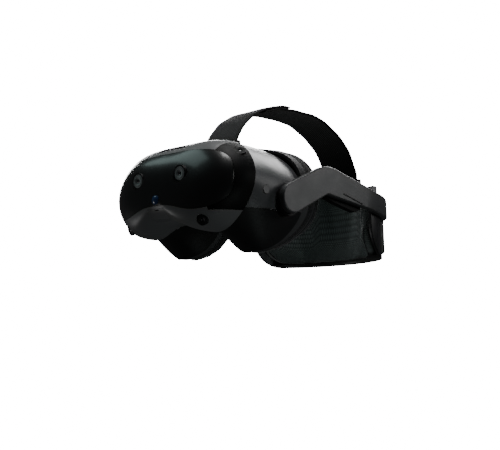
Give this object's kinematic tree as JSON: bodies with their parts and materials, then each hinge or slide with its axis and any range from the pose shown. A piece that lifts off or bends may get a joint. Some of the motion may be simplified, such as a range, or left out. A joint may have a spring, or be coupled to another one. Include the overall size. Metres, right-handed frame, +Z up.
{
  "type": "vr headset",
  "caption": "Head-worn display with a rounded visor, hinged rigid side arms with speakers, a dial-adjusted padded rear support with a battery, and a webbing strap over the head.",
  "frame": {"origin": "centre of the overall footprint at the table, under the middle of the headset", "axes": "+X to the wearer's left, +Y towards the rear of the headset, +Z up; the front of the visor looks along -Y"},
  "size_m": [0.19, 0.31, 0.1647],
  "materials": {
    "cover_gloss": "gloss",
    "side_dark": "satin",
    "frame_silver": "satin",
    "grille_black": "matt",
    "camera_black": "gloss",
    "sensor_blue": "gloss",
    "housing_grey": "satin",
    "under_black": "matt",
    "gasket_grey": "matt",
    "cushion_fabric": "woven",
    "nose_rubber": "matt",
    "inner_plastic": "matt",
    "steel_rod": "ground",
    "display_black": "gloss",
    "lens_clear": "polished",
    "board_green": "satin",
    "heat_sink_metal": "satin",
    "button_dark": "satin",
    "socket_black": "matt",
    "socket_metal": "satin",
    "collar_black": "satin",
    "pin_metal": "satin",
    "arm_dark": "satin",
    "speaker_black": "matt",
    "carrier_black": "matt",
    "module_grey": "satin",
    "dial_dark": "satin",
    "gear_plastic": "satin",
    "battery_black": "satin",
    "latch_grey": "satin",
    "strap_web": "woven",
    "anchor_black": "satin"
  },
  "bodies": {
    "visor": {"front_cover": "cover_gloss", "side_panel_left": "side_dark", "side_panel_right": "side_dark", "top_frame": "frame_silver", "lower_frame": "frame_silver", "port_cover": "frame_silver", "vent_grille": "grille_black", "depth_sensor": "sensor_blue", "passthrough_camera_left": "camera_black", "passthrough_camera_right": "camera_black", "tracking_camera_upper_left": "camera_black", "tracking_camera_upper_right": "camera_black", "tracking_camera_lower_left": "camera_black", "tracking_camera_lower_right": "camera_black", "rear_housing": "housing_grey", "under_cover": "under_black", "optics_bracket": "inner_plastic", "guide_rod": "steel_rod", "spacing_motor": "steel_rod", "main_board": "board_green", "board_screws": "steel_rod", "heat_sink": "heat_sink_metal", "fan_housing": "inner_plastic", "audio_jack": "socket_black", "usb_socket": "socket_metal", "pivot_collar_left": "collar_black", "pivot_collar_right": "collar_black", "pivot_pin_left": "pin_metal", "pivot_pin_right": "pin_metal", "strap_anchor_front": "anchor_black", "top_strap_front": "strap_web"},
    "left_lens_unit": {"lens_barrel_left": "inner_plastic", "display_left": "display_black", "lens_left": "lens_clear"},
    "right_lens_unit": {"lens_barrel_right": "inner_plastic", "display_right": "display_black", "lens_right": "lens_clear"},
    "spacing_drive": {"spacing_screw": "steel_rod"},
    "fan": {"fan_rotor": "inner_plastic"},
    "power_key": {"power_button": "button_dark"},
    "volume_key": {"volume_rocker": "button_dark"},
    "face_gasket": {"gasket_frame": "gasket_grey", "face_cushion": "cushion_fabric", "nose_guard": "nose_rubber"},
    "side_arms": {"arm_left": "arm_dark", "arm_right": "arm_dark", "speaker_left": "speaker_black", "speaker_right": "speaker_black"},
    "rear_support": {"rear_carrier": "carrier_black", "rear_cushion": "cushion_fabric", "rear_module": "module_grey", "strap_anchor_rear": "anchor_black", "top_strap_rear": "strap_web"},
    "dial": {"fit_dial": "dial_dark", "dial_pinion": "gear_plastic"},
    "left_rack": {"adjust_strap_left": "gear_plastic"},
    "right_rack": {"adjust_strap_right": "gear_plastic"},
    "battery": {"battery_pack": "battery_black"},
    "latch": {"battery_latch": "latch_grey"}
  },
  "joints": [
    {"name": "band_tilt", "type": "hinge", "parent": "visor", "child": "side_arms", "pos_m": [0, -0.057, 0.049], "axis": [1, 0, 0], "range_deg": [-8, 20], "deforming": ["top_strap_front"]},
    {"name": "fit_slide", "type": "slide", "parent": "side_arms", "child": "rear_support", "axis": [0, 1, 0], "range_m": [-0.02, 0], "deforming": ["top_strap_rear"]},
    {"name": "dial_spin", "type": "hinge", "parent": "rear_support", "child": "dial", "pos_m": [0, 0.15, 0.066], "axis": [0, 1, 0], "range_deg": [-128, 0]},
    {"name": "left_rack_slide", "type": "slide", "parent": "rear_support", "child": "left_rack", "axis": [1, 0, 0], "range_m": [-0.02, 0]},
    {"name": "right_rack_slide", "type": "slide", "parent": "rear_support", "child": "right_rack", "axis": [1, 0, 0], "range_m": [0, 0.02]},
    {"name": "left_lens_slide", "type": "slide", "parent": "visor", "child": "left_lens_unit", "axis": [1, 0, 0], "range_m": [-0.00375, 0.00375]},
    {"name": "right_lens_slide", "type": "slide", "parent": "visor", "child": "right_lens_unit", "axis": [1, 0, 0], "range_m": [-0.00375, 0.00375]},
    {"name": "spacing_spin", "type": "hinge", "parent": "visor", "child": "spacing_drive", "pos_m": [0, -0.091, 0.099], "axis": [1, 0, 0], "range_deg": [-680, 680]},
    {"name": "fan_spin", "type": "hinge", "parent": "visor", "child": "fan", "pos_m": [0, -0.111, 0.1], "axis": [0, 0, 1], "continuous": true},
    {"name": "power_press", "type": "slide", "parent": "visor", "child": "power_key", "axis": [-1, 0, 0], "range_m": [0, 0.0008], "stiffness_N_per_m": 1500, "springref_m": -0.0005},
    {"name": "volume_rock", "type": "hinge", "parent": "visor", "child": "volume_key", "pos_m": [-0.08093, -0.087, 0.062], "axis": [0, 0, 1], "range_deg": [-3, 3], "stiffness_Nm_per_rad": 0.08},
    {"name": "gasket_release", "type": "slide", "parent": "visor", "child": "face_gasket", "axis": [0, 1, 0], "range_m": [0, 0.015]},
    {"name": "battery_release", "type": "slide", "parent": "rear_support", "child": "battery", "axis": [0, 1, 0], "range_m": [0, 0.03]},
    {"name": "latch_press", "type": "slide", "parent": "battery", "child": "latch", "axis": [-1, 0, 0], "range_m": [0, 0.001], "stiffness_N_per_m": 1200, "springref_m": -0.0005}
  ],
  "couplings": [
    {"joint": "dial_spin", "follows": "fit_slide", "rad_per_m": 111.11},
    {"joint": "left_rack_slide", "follows": "fit_slide", "ratio": 1},
    {"joint": "right_rack_slide", "follows": "fit_slide", "ratio": -1},
    {"joint": "right_lens_slide", "follows": "left_lens_slide", "ratio": -1},
    {"joint": "spacing_spin", "follows": "left_lens_slide", "rad_per_m": 3141.6}
  ]
}
